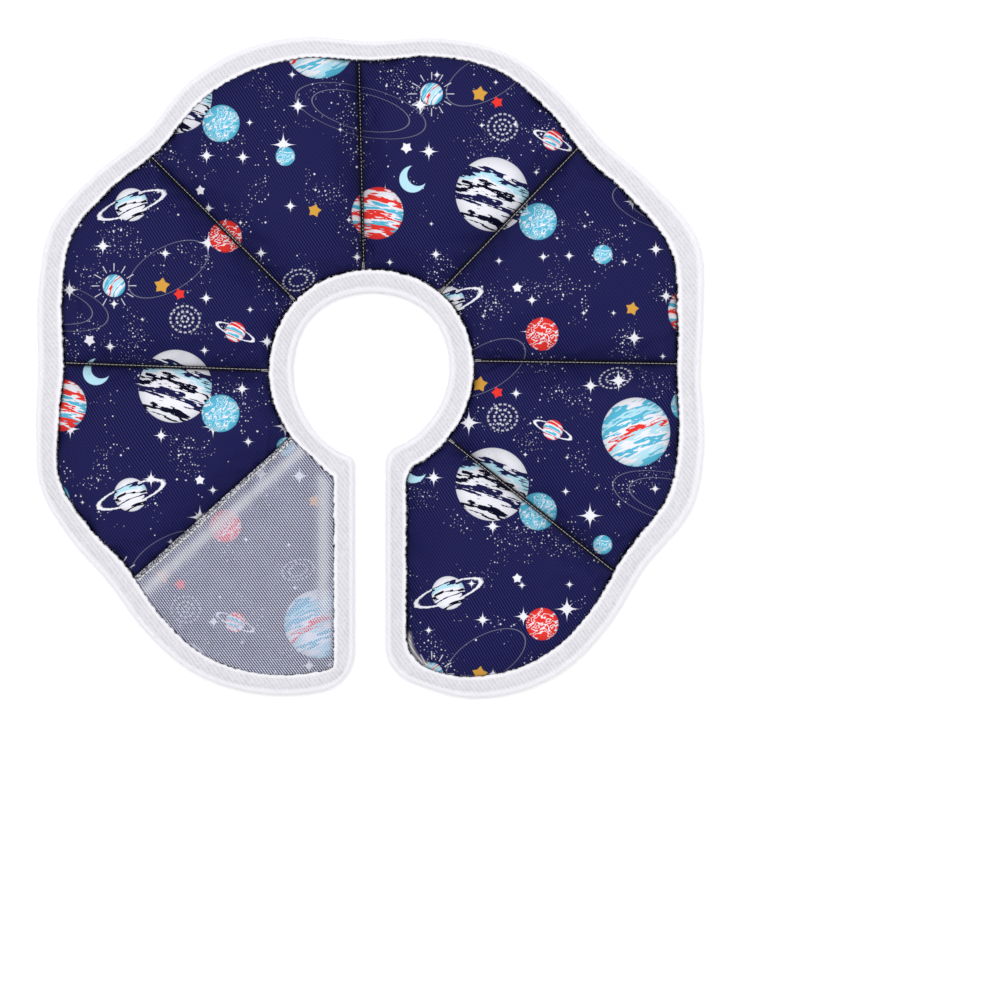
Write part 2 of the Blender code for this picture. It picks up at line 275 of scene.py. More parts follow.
# Smooth noise from 0 to 1: a random value at each corner of a cube of this size, blended between corners
def lumps(points, size, seed):
    cell = points / size
    corner = np.floor(cell).astype(np.int64)
    t = cell - corner
    t = t * t * (3 - 2 * t)
    total = np.zeros(points.shape[:-1])
    for step in itertools.product((0, 1), repeat=3):
        mixed = np.bitwise_xor.reduce((corner + np.array(step)) * cellNumbers, axis=-1) ^ (seed * seedNumber)
        for shift, number in mixNumbers:
            mixed = ((mixed ^ (mixed >> shift)) * number) & noiseMask
        share = np.where(np.array(step) == 1, t, 1 - t).prod(axis=-1)
        total += share * mixed / noiseMask
    return total


# Distance from each point to the nearest of many straight runs, worked out in blocks
def distanceToRuns(points, starts, stops):
    run = stops - starts
    squared = np.maximum((run**2).sum(axis=1), 1e-18)
    found = []
    for block in np.array_split(points, max(1, len(points) * len(starts) // 2_000_000)):
        offset = block[:, None] - starts[None]
        share = np.clip((offset * run[None]).sum(axis=-1) / squared, 0.0, 1.0)
        found.append(np.linalg.norm(offset - share[..., None] * run[None], axis=-1).min(axis=1))
    return np.concatenate(found)


# Normals of a surface given as a grid of points: the cross product of its two directions
def gridNormals(grid, closedAcross, closedAlong):
    def slope(axis, closed):
        if closed:
            return np.roll(grid, -1, axis=axis) - np.roll(grid, 1, axis=axis)
        return np.gradient(grid, axis=axis)

    normal = np.cross(slope(0, closedAcross), slope(1, closedAlong))
    return normal / np.maximum(np.linalg.norm(normal, axis=-1, keepdims=True), 1e-12)


# Four-sided faces between the numbered points of a grid; a closed direction runs round to its start
def gridFaces(at, closedAcross=False, closedAlong=False):
    if closedAcross:
        at = np.concatenate((at, at[:1]), axis=0)
    if closedAlong:
        at = np.concatenate((at, at[:, :1]), axis=1)
    faces = (at[:-1, :-1], at[1:, :-1], at[1:, 1:], at[:-1, 1:])
    return np.stack([face.ravel() for face in faces], axis=-1)


# A mesh object from whole arrays of points and faces of one size, its faces turned outwards
def meshObject(name, points, faces, material, smooth=True):
    mesh = bpy.data.meshes.new(name)
    corner = faces.shape[1]
    mesh.vertices.add(len(points))
    mesh.vertices.foreach_set("co", np.ascontiguousarray(points, dtype=np.float32).ravel())
    mesh.loops.add(faces.size)
    mesh.loops.foreach_set("vertex_index", np.ascontiguousarray(faces, dtype=np.int32).ravel())
    mesh.polygons.add(len(faces))
    mesh.polygons.foreach_set("loop_start", np.arange(0, faces.size, corner, dtype=np.int32))
    mesh.update(calc_edges=True)
    a, b, c = (points[faces[:, index]] for index in range(3))
    d = points[faces[:, corner - 1]]
    volume = (a * np.cross(b, c)).sum() + ((a * np.cross(c, d)).sum() if corner == 4 else 0.0)
    if volume < 0:
        mesh.flip_normals()
    if smooth:
        mesh.shade_smooth()
    else:
        mesh.shade_flat()
    mesh.materials.append(material)
    made = bpy.data.objects.new(name, mesh)
    bpy.context.scene.collection.objects.link(made)
    return made


# A number at every point of a mesh, for its material to read
def pointAttribute(made, name, values):
    entry = made.data.attributes.new(name, "FLOAT", "POINT")
    entry.data.foreach_set("value", np.ravel(values).astype(np.float32))


# Joins many copies of a small closed body: every body's points, and the same faces for each
def joinedBodies(bodies, faces):
    count, size = bodies.shape[:2]
    numbered = faces[None] + (np.arange(count) * size)[:, None, None]
    return bodies.reshape(-1, 3), numbered.reshape(-1, faces.shape[1])


# A screen colour, from 0 to 255 each, as linear light
def linear(*screen):
    shares = np.array(screen) / 255.0
    return tuple(np.where(shares <= 0.04045, shares / 12.92, ((shares + 0.055) / 1.055) ** 2.4)) + (1.0,)


# A number that changes over a surface: arithmetic on it adds Math nodes
class Amount:
    def __init__(self, finish, socket):
        self.finish = finish
        self.socket = socket

    def math(self, operation, *others):
        return self.finish.math(operation, self, *others)

    def __abs__(self):
        return self.math("ABSOLUTE")

    def held(self):
        return self.finish.math("ADD", self, 0.0, clamp=True)


# Each operator and its reflected form, so that 1 - amount works
operators = {"add": "ADD", "sub": "SUBTRACT", "mul": "MULTIPLY", "truediv": "DIVIDE", "pow": "POWER"}
for name, kind in operators.items():
    setattr(Amount, f"__{name}__", lambda self, other, kind=kind: self.finish.math(kind, self, other))
    setattr(Amount, f"__r{name}__", lambda self, other, kind=kind: self.finish.math(kind, other, self))


# A material and its nodes
class Finish:
    def __init__(self, name):
        self.material = bpy.data.materials.new(name)
        self.material.use_nodes = True
        self.tree = self.material.node_tree
        self.shader = self.tree.nodes["Principled BSDF"]

    def node(self, kind, settings=None, sockets=None):
        made = self.tree.nodes.new(kind)
        for key, value in (settings or {}).items():
            if key == "stops":
                ramp = made.color_ramp
                while len(ramp.elements) < len(value):
                    ramp.elements.new(0.5)
                for element, (place, colour) in zip(ramp.elements, value):
                    element.position = place
                    element.color = colour
            elif key == "ramp":
                made.color_ramp.interpolation = value
            else:
                setattr(made, key, value)
        for key, value in (sockets or {}).items():
            self.put(made.inputs[key], value)
        return made

    def put(self, entry, value):
        if isinstance(value, Amount):
            value = value.socket
        if isinstance(value, bpy.types.NodeSocket):
            self.tree.links.new(value, entry)
        else:
            entry.default_value = value

    def math(self, operation, *values, clamp=False):
        settings = {"operation": operation, "use_clamp": clamp}
        return Amount(self, self.node("ShaderNodeMath", settings, dict(enumerate(values))).outputs[0])

    def vector(self, operation, first, second=None, scale=None):
        sockets = {0: first}
        if second is not None:
            sockets[1] = second
        if scale is not None:
            sockets["Scale"] = scale
        return self.node("ShaderNodeVectorMath", {"operation": operation}, sockets)

    def mix(self, share, first, second):
        settings = {"data_type": "RGBA", "clamp_factor": True}
        return self.node("ShaderNodeMix", settings, {0: share, 6: first, 7: second}).outputs[2]

    def parts(self, vector):
        made = self.node("ShaderNodeSeparateXYZ", None, {0: vector})
        return [Amount(self, output) for output in made.outputs]

    def joined(self, x, y):
        return self.node("ShaderNodeCombineXYZ", None, {0: x, 1: y}).outputs[0]

    # Where a point lies on the object, in millimetres
    def place(self):
        here = self.node("ShaderNodeTexCoord").outputs["Object"]
        return self.vector("SCALE", here, scale=1000.0).outputs[0]

    def attribute(self, name):
        return Amount(self, self.node("ShaderNodeAttribute", {"attribute_name": name}).outputs["Fac"])

    def noise(self, vector, scale, detail=2.0, roughness=0.5, dimensions="3D"):
        sockets = {"Vector": vector, "Scale": scale, "Detail": detail, "Roughness": roughness}
        made = self.node("ShaderNodeTexNoise", {"noise_dimensions": dimensions}, sockets)
        return Amount(self, made.outputs["Fac"])

    def bump(self, height, strength):
        sockets = {"Height": height, "Distance": 1.0, "Strength": strength}
        return self.node("ShaderNodeBump", None, sockets).outputs["Normal"]

    def shade(self, **values):
        for key, value in values.items():
            self.put(self.shader.inputs[key.replace("_", " ")], value)
        return self.material


# Camera straight above the sheet, framed as the photo is: what one pixel measures, and the neck hole's pixel
view = {"size": 1001, "pixel": 0.0004805, "holeAt": (371.0, 374.0), "height": 2.2, "level": 0.004}


def makeCamera():
    half = view["size"] / 2
    x = (half - view["holeAt"][0]) * view["pixel"] - outlineMiddle[0]
    y = -(half - view["holeAt"][1]) * view["pixel"] - outlineMiddle[1]
    data = bpy.data.cameras.new("camera")
    data.sensor_width = 36.0
    data.lens = data.sensor_width * (view["height"] - view["level"]) / (view["size"] * view["pixel"])
    data.clip_end = 20.0
    camera = bpy.data.objects.new("camera", data)
    camera.location = (x, y, view["height"])
    bpy.context.scene.collection.objects.link(camera)
    bpy.context.scene.camera = camera
    print("camera", [round(value, 4) for value in camera.location], round(data.lens, 1))


# The studio: a pale floor, an even white room and two soft lights
studio = {"room": 0.93, "floor": 0.97, "floorSize": 6.0}
lights = {
    "softAbove": {"at": (-0.32, 0.40, 1.6), "size": 0.9, "power": 7.2},
    "softSide": {"at": (0.95, 0.15, 0.8), "size": 0.4, "power": 1.2},
}


def makeStudio():
    world = bpy.data.worlds.new("room")
    world.use_nodes = True
    back = world.node_tree.nodes["Background"]
    back.inputs["Color"].default_value = (1.0, 1.0, 1.0, 1.0)
    back.inputs["Strength"].default_value = studio["room"]
    bpy.context.scene.world = world
    bpy.context.scene.view_settings.view_transform = "Standard"
    for name, light in lights.items():
        data = bpy.data.lights.new(name, "AREA")
        data.shape = "DISK"
        data.size = light["size"]
        data.energy = light["power"]
        made = bpy.data.objects.new(name, data)
        made.location = light["at"]
        aim = -np.array(light["at"])
        tilt = math.atan2(np.hypot(aim[0], aim[1]), -aim[2])
        made.rotation_euler = (tilt, 0.0, math.atan2(aim[1], aim[0]) - math.pi / 2)
        bpy.context.scene.collection.objects.link(made)
    finish = Finish("paleFloor")
    level = studio["floor"]
    finish.shade(Base_Color=(level, level, level, 1.0), Roughness=0.9)
    half = studio["floorSize"] / 2
    square = np.array([(-half, -half, 0.0), (half, -half, 0.0), (half, half, 0.0), (-half, half, 0.0)])
    floor = meshObject("floor", square, np.array([[0, 1, 2, 3]]), finish.material, smooth=False)


# The printed cloth's pattern. Lengths in millimetres on one repeat of the print, counted from its middle.
printed = {
    "across": 152.0,
    "along": 139.0,
    "drop": 47.0,
    "start": (50.2, 40.8),
    "soft": 0.28,
    "navy": (24, 24, 71),
    "deepNavy": (1, 2, 31),
    "lineNavy": (39, 39, 101),
    "teal": (84, 178, 208),
    "ice": (176, 219, 234),
    "red": (226, 52, 44),
    "gold": (204, 152, 62),
    "white": (230, 230, 238),
    "twillPitch": 1.25,
    "twillLean": 57.0,
    "twillBend": 5.0,
    "twillBendSize": 0.016,
    "twillRise": 0.00007,
    "fineRise": 0.00005,
    "wornSize": 0.020,
    "driftSize": 0.042,
    "dust": ((0.26, 0.42, 0.10), (0.62, 0.26, 0.02)),
    # Painted reflection on one corner: the way it faces, how far in, its width, its cut-off and its colour
    "reflectionWay": (-0.80, -0.60),
    "reflectionIn": 1.7,
    "reflectionWide": 2.1,
    "reflectionEnds": 0.68,
    "paintedReflection": (218, 215, 212),
    "foldShadeColour": (5, 4, 16),
    "sparkleCells": 0.045,
    "sparkleReach": (1.9, 6.0),
    "sparklePower": 0.42,
}
# Worlds: x, y, radius, turn of the bands in degrees, finish
worlds = (
    (-50.0, 36.0, 16.5, 24.0, "tide"),
    (-25.5, 49.0, 7.6, -30.0, "cloud"),
    (33.0, -36.0, 17.5, -18.0, "pale"),
    (55.0, -49.0, 9.0, 40.0, "cloud"),
    (-22.0, -45.0, 12.5, -12.0, "ember"),
    (57.0, 36.0, 7.8, 15.0, "rust"),
    (4.0, 12.0, 5.4, 55.0, "tide"),
    (-66.0, -18.0, 4.6, 10.0, "cloud"),
    (12.0, 51.0, 8.0, 20.0, "pale"),
    (62.0, -10.0, 4.8, -25.0, "ember"),
)
# Rings round some worlds: x, y, outer radius, flattening, turn, width
rings = (
    (12.0, 51.0, 18.0, 0.27, 20.0, 1.5),
    (62.0, -10.0, 10.5, 0.25, -25.0, 1.0),
)
# Orbit lines: x, y, radius, flattening, turn, dashes (none for a whole line), strength
orbits = (
    (-30.0, 4.0, 32.0, 0.36, -14.0, 0, 0.20),
    (-30.0, 4.0, 24.0, 0.36, -14.0, 0, 0.26),
    (30.0, 20.0, 21.0, 0.5, 30.0, 0, 0.22),
    (-60.0, 62.0, 7.6, 0.62, 15.0, 21, 0.85),
    (-60.0, 62.0, 4.4, 0.62, 15.0, 13, 0.75),
    (38.0, -4.0, 7.0, 0.9, 0.0, 19, 0.75),
    (38.0, -4.0, 4.0, 0.9, 0.0, 11, 0.85),
    (38.0, -4.0, 1.6, 0.9, 0.0, 5, 0.85),
)
# Rays round a small world: x, y, inner and outer radius, number
bursts = ((4.0, 12.0, 7.0, 10.8, 24),)
# Five-pointed stars: x, y, radius, turn, colour
stars = (
    (27.0, 12.0, 3.9, 10.0, "gold"),
    (35.5, 8.0, 2.9, 35.0, "red"),
    (-8.0, -14.0, 2.8, 50.0, "white"),
    (-52.0, -44.0, 3.3, 5.0, "gold"),
    (45.0, 58.0, 2.4, 20.0, "white"),
)
# A crescent: where its disc and the disc that is cut from it lie, and their radii
moon = {"at": (-5.0, -29.0), "radius": 6.4, "biteAt": (-2.4, -27.0), "biteRadius": 5.3}
# The bands across a world, from one side to the other, and where each begins
bandStops = {
    "ember": ("red", "white", "red", "teal", "white", "red", "white", "teal", "white", "red", "white", "red"),
    "tide": ("teal", "ice", "white", "teal", "white", "ice", "red", "white", "teal", "ice", "teal", "white"),
    "pale": (
        *("white", "deepNavy", "white", "white", "navy", "white"),
        *("deepNavy", "white", "ice", "navy", "white", "white"),
    ),
    "rust": ("red", "red", "white", "red", "red", "white", "red", "red", "red", "white", "red", "red"),
    "cloud": ("teal", "teal", "ice", "teal", "white", "teal", "ice", "teal", "teal", "white", "teal", "teal"),
}
bandEdges = (0.0, 0.10, 0.19, 0.27, 0.34, 0.43, 0.52, 0.58, 0.66, 0.74, 0.82, 0.91)


# The printed front cloth: worlds, stars, dust and orbit lines painted one over another on navy twill
def printedCloth():
    finish = Finish("printedCloth")
    names = ("navy", "deepNavy", "lineNavy", "teal", "ice", "red", "gold", "white")
    colour = {name: linear(*printed[name]) for name in names}
    soft = printed["soft"]
    place = finish.place()
    x, y, _ = finish.parts(place)
    shifted = x + (printed["start"][0] + 4 * printed["across"])
    column = (shifted / printed["across"]).math("FLOOR")
    along = y + (printed["start"][1] + 4 * printed["along"]) + column * printed["drop"]
    tileX = shifted - (column + 0.5) * printed["across"]
    tileY = along.math("FLOORED_MODULO", printed["along"]) - printed["along"] / 2
    tile = finish.joined(tileX, tileY)
    crumbs = finish.noise(tile, 0.9, 3.0, 0.7, "2D")

    def away(spotX, spotY):
        return finish.vector("SUBTRACT", tile, (spotX, spotY, 0.0)).outputs[0]

    def size(vector):
        return Amount(finish, finish.vector("LENGTH", vector).outputs[1])

    def towards(vector, degrees):
        angle = math.radians(degrees)
        way = (math.cos(angle), math.sin(angle), 0.0)
        return Amount(finish, finish.vector("DOT_PRODUCT", vector, way).outputs[1])

    # A flattened circle's two directions, and the distance from its middle counted along the long one
    def oval(spotX, spotY, flat, turn):
        out = away(spotX, spotY)
        wide = towards(out, turn)
        high = towards(out, turn + 90.0) / flat
        return wide, high, (wide * wide + high * high).math("SQRT")

    # A ring frayed by noise, and the direction that parts its near half from its far half
    def frayedRing(row, fray):
        spotX, spotY, radius, flat, turn, width = row
        _, high, reach = oval(spotX, spotY, flat, turn)
        return high, (1.0 - abs(reach - (radius - width)) / width + (crumbs - 0.5) * fray).held()

    def inside(distance, radius):
        return ((radius - distance) / soft + 0.5).held()

    # Twill: lines that lean and bend a little, stronger in some places
    lean = math.radians(printed["twillLean"])
    worn = ((finish.noise(place, printed["wornSize"], 2.0, 0.5) - 0.34) * 4.0).held() * 0.8 + 0.2
    bend = finish.noise(place, printed["twillBendSize"], 1.0, 0.4) * printed["twillBend"]
    across = x * math.sin(lean) + y * math.cos(lean) + bend
    twill = (across * (2 * math.pi / printed["twillPitch"])).math("SINE")
    paint = finish.mix(twill * worn * 0.5 + 0.5, colour["deepNavy"], colour["lineNavy"])

    # Dust: dots of many sizes, thicker in drifts
    drift = finish.noise(place, printed["driftSize"], 3.0, 0.6, "2D")
    for scale, reach, spare in printed["dust"]:
        sockets = {"Vector": place, "Scale": scale, "Randomness": 1.0}
        cells = finish.node("ShaderNodeTexVoronoi", {"voronoi_dimensions": "2D"}, sockets)
        chance, share, _ = finish.parts(cells.outputs["Color"])
        kept = (drift * 3.4 - 1.75 + spare - chance * 0.8).math("GREATER_THAN", 0.0)
        radius = (share**3 * reach + 0.09) * kept
        dot = ((radius - Amount(finish, cells.outputs["Distance"]) / scale) / soft + 0.42).held() * kept
        paint = finish.mix(dot * 0.9, paint, colour["white"])

    # Orbit lines
    for orbitX, orbitY, radius, flat, turn, dashes, strength in orbits:
        wide, high, reach = oval(orbitX, orbitY, flat, turn)
        line = (1.0 - abs(reach - radius) / (0.7 if dashes else 0.42)).held() * strength
        if dashes:
            angle = finish.math("ARCTAN2", high, wide)
            line = line * (((angle * dashes).math("SINE") + 0.5) * 2.0).held()
        paint = finish.mix(line, paint, colour["white"])
    for burstX, burstY, inner, outer, count in bursts:
        out = away(burstX, burstY)
        distance = size(out)
        angle = finish.math("ARCTAN2", towards(out, 90.0), towards(out, 0.0))
        longest = outer * 0.85 + (angle * (count / 2)).math("COSINE") * (outer * 0.15)
        rays = inside(distance, longest) * (1.0 - inside(distance, inner))
        thin = (((angle * count).math("COSINE") - 0.72) * 4.0).held()
        paint = finish.mix(rays * thin * 0.7, paint, colour["white"])

    # Sparkles, one to a cell, of many sizes: four long points, four short ones and a round middle
    sockets = {"Vector": place, "Scale": printed["sparkleCells"], "Randomness": 0.8}
    cells = finish.node("ShaderNodeTexVoronoi", {"voronoi_dimensions": "2D"}, sockets)
    chance, share, _ = finish.parts(cells.outputs["Color"])
    kept = chance.math("GREATER_THAN", 0.12)
    out = finish.vector("SUBTRACT", place, cells.outputs["Position"]).outputs[0]
    sparkleX, sparkleY, _ = finish.parts(out)
    power = printed["sparklePower"]
    least, most = printed["sparkleReach"]
    longest = share**1.6 * most + least
    upright = (abs(sparkleX) ** power + abs(sparkleY) ** power) ** (1 / power)
    slanted = (abs(sparkleX + sparkleY) ** power + abs(sparkleX - sparkleY) ** power) ** (1 / power)
    spark = ((longest - upright) / 1.1).held()
    spark = spark.math("MAXIMUM", ((longest * 0.95 - slanted) / 1.1).held())
    spark = spark.math("MAXIMUM", ((longest * 0.16 + 0.30 - size(out)) / 0.4).held()) * kept
    paint = finish.mix(spark, paint, colour["white"])

    # Rings behind their worlds, then the worlds: bands across a disc, bent and frayed by noise
    for row in rings:
        _, ring = frayedRing(row, 1.6)
        paint = finish.mix((ring * 1.6).held(), paint, colour["white"])
    for worldX, worldY, radius, turn, kind in worlds:
        out = away(worldX, worldY)
        distance = size(out)
        wide = towards(out, turn)
        high = towards(out, turn + 90.0)
        banded = kind in ("ember", "tide", "pale")
        grain = finish.joined(wide * (0.10 if banded else 0.22) + worldX, high * (0.55 if banded else 0.30))
        fray = finish.noise(grain, 1.0, 2.0, 0.5, "2D") - 0.5
        ragged = (crumbs - 0.5) * (0.035 if banded else 0.06)
        level = high / (2 * radius) + 0.5 + wide * wide * (0.11 / radius**2)
        level = level + fray * (0.34 if banded else 1.3) + ragged
        stops = [(edge, colour[name]) for edge, name in zip(bandEdges, bandStops[kind])]
        bands = finish.node("ShaderNodeValToRGB", {"ramp": "CONSTANT", "stops": stops}, {0: level}).outputs[0]
        lit = finish.mix((distance / radius) ** 5.0 * 0.30, bands, colour["deepNavy"])
        paint = finish.mix(inside(distance, radius), paint, lit)

    # The near half of each ring again, in front of its world
    for row in rings:
        high, ring = frayedRing(row, 1.2)
        paint = finish.mix((ring * high.math("LESS_THAN", 0.0) * 1.6).held(), paint, colour["white"])

    # A crescent: a disc less a disc
    disc = inside(size(away(*moon["at"])), moon["radius"])
    bite = inside(size(away(*moon["biteAt"])), moon["biteRadius"])
    paint = finish.mix(disc * (1.0 - bite), paint, colour["ice"])

    # Five-pointed stars: the plane folded into ten equal wedges, and cut by one straight edge
    fifth = 2 * math.pi / 5
    cut = math.radians(54.0)
    for starX, starY, radius, turn, name in stars:
        out = away(starX, starY)
        angle = finish.math("ARCTAN2", towards(out, turn + 90.0), towards(out, turn))
        fold = fifth / 2 - abs((angle + 4 * fifth).math("FLOORED_MODULO", fifth) - fifth / 2)
        edge = size(out) * (fold.math("COSINE") * math.cos(cut) + fold.math("SINE") * math.sin(cut))
        paint = finish.mix(inside(edge, radius * math.cos(cut)), paint, colour[name])

    # Plain on the back, with painted shade beside the seams and along the binding, and a painted reflection
    # where it rolls over one corner
    front = finish.attribute("front")
    folded = finish.attribute("folded")
    paint = finish.mix(front, colour["navy"], paint)
    paint = finish.mix(folded, paint, linear(*printed["foldShadeColour"]))
    # A painted reflection: a pale streak just inside the right end's rim corner, on its lower-left side
    middle, radius = cornerArc(1, "rim", 1)[:2]
    middle = (middle - outlineMiddle) * 1000
    out = finish.vector("SUBTRACT", place, (*middle, 0.0)).outputs[0]
    outX, outY, _ = finish.parts(out)
    reach = (outX * outX + outY * outY).math("SQRT")
    facing = (outX * printed["reflectionWay"][0] + outY * printed["reflectionWay"][1]) / reach
    paintedReflection = (1.0 - abs(reach - (radius * 1000 - printed["reflectionIn"])) / printed["reflectionWide"]).held()
    paintedReflection = paintedReflection * paintedReflection * ((facing - printed["reflectionEnds"]) * 5.0).held() * (0.75 + 0.25 * twill)
    paint = finish.mix(paintedReflection * front, paint, linear(*printed["paintedReflection"]))
    fine = finish.noise(place, 1.4, 2.0, 0.5)
    normal = finish.bump(twill * printed["twillRise"] + fine * printed["fineRise"], 0.6)
    finish.shade(Base_Color=paint, Roughness=0.50 + fine * 0.1, Normal=normal)
    return finish.shade(Specular_IOR_Level=0.06)


# The quilted pad
pad = {
    "thickness": 0.0120,
    "pressed": 0.0020,
    "wall": 0.0013,
    "puffRoll": 0.0150,
    "underRoll": 0.0070,
    "puffPower": 2.3,
    "underPower": 2.0,
    "panelColumns": 39,
    "rows": 77,
    "drawn": 0.55,
    "pucker": 0.00042,
    "puckerReach": 0.0045,
    "puckerPitch": 0.0048,
    "sag": 0.0005,
    "startFull": 0.74,
    "simQuality": 6,
    "clothMass": 0.25,
    "stretchStiffness": 20.0,
    "shearStiffness": 8.0,
    "bendStiffness": 0.4,
    "looseCloth": 0.02,
    "pressure": 4.0,
    "frames": 20,
    "mostMoved": 0.006,
    # Painted shade beside the seams and along the binding: line strength, line width, soft strength, soft
    # width
    "grooveShade": (0.78, 0.0005, 0.36, 0.0032),
    "lipShade": (0.80, 0.0009, 0.26, 0.0032),
}
pressedBottom = pad["wall"] + plan["clearance"]
pressedTop = pressedBottom + pad["pressed"]
bindingHeight = pressedTop + plan["clearance"] + pad["wall"]


# Rises from 0 to 1 over a width: 1 - (1 - distance / width) ** power
def roll(distance, width, power):
    return 1.0 - (1.0 - np.clip(distance / width, 0.0, 1.0)) ** power


# The pad's columns, straight from neck to rim, leaning over in the end panels to follow the ends
def padGrid(panelStops, rowStops):
    outside = sidesAt(0, panelStops, panelStops, rowStops)
    sewn = sidesAt(1, panelStops, panelStops, rowStops)

    def between(inward):
        return {name: outside[name] + inward * (sewn[name] - outside[name]) for name in outside}

    crease = between(1.0 + plan["clearance"] / plan["bindingWidth"])
    tucked = between(pressedBottom / plan["bindingWidth"])
    rows = rowStops[None, :, None]
    grid = (1.0 - rows) * crease["neck"][:, None] + rows * crease["rim"][:, None]
    for name, step in (("right", 1), ("left", -1)):
        first = 0 if step > 0 else -1
        lean = crease[name] - grid[first]
        reach = slice(0, len(panelStops)) if step > 0 else slice(-len(panelStops), None)
        weights = (1.0 - panelStops) if step > 0 else panelStops
        grid[reach] += weights[:, None, None] * lean[None]
    return grid, closedLoop(tucked)


def seamColumns(panelStops):
    return [len(panelStops) + count * (len(panelStops) + 1) for count in range(len(seamRows))]


def outlineOf(at):
    return closedLoop({"rim": at[:, -1], "left": at[-1], "neck": at[:, 0], "right": at[0]})


# How far each point is from the binding and from the seams' pressed strips
def padDistances(grid, columns):
    flat = grid.reshape(-1, 2)
    crease = outlineOf(grid)
    edge = distanceToRuns(flat, crease, np.roll(crease, -1, axis=0)).reshape(grid.shape[:2])
    seams = grid[columns]
    seam = distanceToRuns(flat, seams[:, 0], seams[:, -1]).reshape(grid.shape[:2])
    return edge, seam


# Puts a point midway between each two: a cubic through the four nearest, or a straight start at an edge
def halved(values, axis):
    values = np.moveaxis(values, axis, 0)
    before = np.concatenate((2 * values[:1] - values[1:2], values[:-2]))
    after = np.concatenate((values[2:], 2 * values[-1:] - values[-2:-1]))
    middle = (9 * (values[:-1] + values[1:]) - before - after) / 16
    full = np.empty((2 * len(values) - 1,) + values.shape[1:])
    full[::2] = values
    full[1::2] = middle
    return np.moveaxis(full, 0, axis)


# The tucked edge's points, at both heights between which the pad is pressed
def pressedEdges(edge):
    return [np.column_stack((edge, np.full(len(edge), height))) for height in (pressedTop, pressedBottom)]


# Painted shade beside a fold: a fine dark line at the fold and a soft shade further out
def foldShadeAt(distance, line, lineWide, soft, softWide):
    return line * np.exp(-((distance / lineWide) ** 1.5)) + soft * np.exp(-distance / softWide)


# Closed faces of a pad: front and back sheets, and the thin edge that the binding hides
def padFaces(at, edgeCount):
    size = at.size
    rim = 2 * size + np.arange(edgeCount)
    loop = outlineOf(at)
    bands = np.stack((loop, rim, rim + edgeCount, loop + size))
    return np.concatenate((gridFaces(at), gridFaces(at + size)[:, ::-1], gridFaces(bands, closedAlong=True)))


# Blows the front up like a cushion: a cloth simulation on every second column and row, held at the seams,
# the edge and the back. Returns how far each point of the front moves.
def swollen(front, back, tucked, material):
    wide = pad["panelColumns"]
    kept = [np.arange(start, start + wide, 2) for start in range(0, len(front), wide + 1)]
    seams = [np.array([column]) for column in seamColumns(np.zeros(wide))] + [np.array([], dtype=int)]
    picked = np.concatenate([part for pair in zip(kept, seams) for part in pair])
    small = front[picked][:, ::2]
    at = np.arange(small[..., 0].size).reshape(small.shape[:2])
    fine = np.arange(front[..., 0].size).reshape(front.shape[:2])
    order = {number: index for index, number in enumerate(outlineOf(fine).tolist())}
    edge = tucked[[order[number] for number in fine[picked][:, ::2].ravel()[outlineOf(at)].tolist()]]
    points = np.concatenate((small.reshape(-1, 3), back[picked][:, ::2].reshape(-1, 3), *pressedEdges(edge)))
    made = meshObject("swelling", points, padFaces(at, len(edge)), material)
    held = np.ones(at.shape, dtype=bool)
    held[1:-1, 1:-1] = False
    half = (wide + 1) // 2
    for column in range(half, len(small) - 1, half + 1):
        held[column - 1 : column + 2] = True
    pinned = np.concatenate((at[held], np.arange(at.size, len(points))))
    made.vertex_groups.new(name="sewn").add(pinned.tolist(), 1.0, "REPLACE")
    cloth = made.modifiers.new("filling", "CLOTH")
    settings = cloth.settings
    settings.quality = pad["simQuality"]
    settings.mass = pad["clothMass"]
    settings.tension_stiffness = settings.compression_stiffness = pad["stretchStiffness"]
    settings.shear_stiffness = pad["shearStiffness"]
    settings.bending_stiffness = pad["bendStiffness"]
    settings.shrink_min = -pad["looseCloth"]
    settings.vertex_group_mass = "sewn"
    settings.use_pressure = True
    settings.uniform_pressure_force = pad["pressure"]
    settings.effector_weights.gravity = 0.0
    cloth.collision_settings.use_collision = False
    cloth.point_cache.frame_start = 1
    cloth.point_cache.frame_end = pad["frames"]
    scene = bpy.context.scene
    for moment in range(1, pad["frames"] + 1):
        scene.frame_set(moment)
    shape = made.evaluated_get(bpy.context.evaluated_depsgraph_get()).data
    placed = np.empty(len(points) * 3, dtype=np.float32)
    shape.vertices.foreach_get("co", placed)
    moved = placed.reshape(-1, 3)[: at.size].reshape(small.shape) - small
    scene.frame_set(1)
    bpy.data.objects.remove(made, do_unlink=True)
    far = np.linalg.norm(moved, axis=-1, keepdims=True)
    print("filling moved the cloth by up to", round(float(far.max()) * 1000, 1), "mm")
    moved = moved * np.minimum(1.0, pad["mostMoved"] / np.maximum(far, 1e-9))
    moved = halved(moved, 1)
    whole = np.zeros(front.shape)
    for index, start in enumerate(range(0, len(front), wide + 1)):
        panel = moved[index * (half + 1) : index * (half + 1) + half]
        whole[start : start + wide] = halved(panel, 0)
    return whole


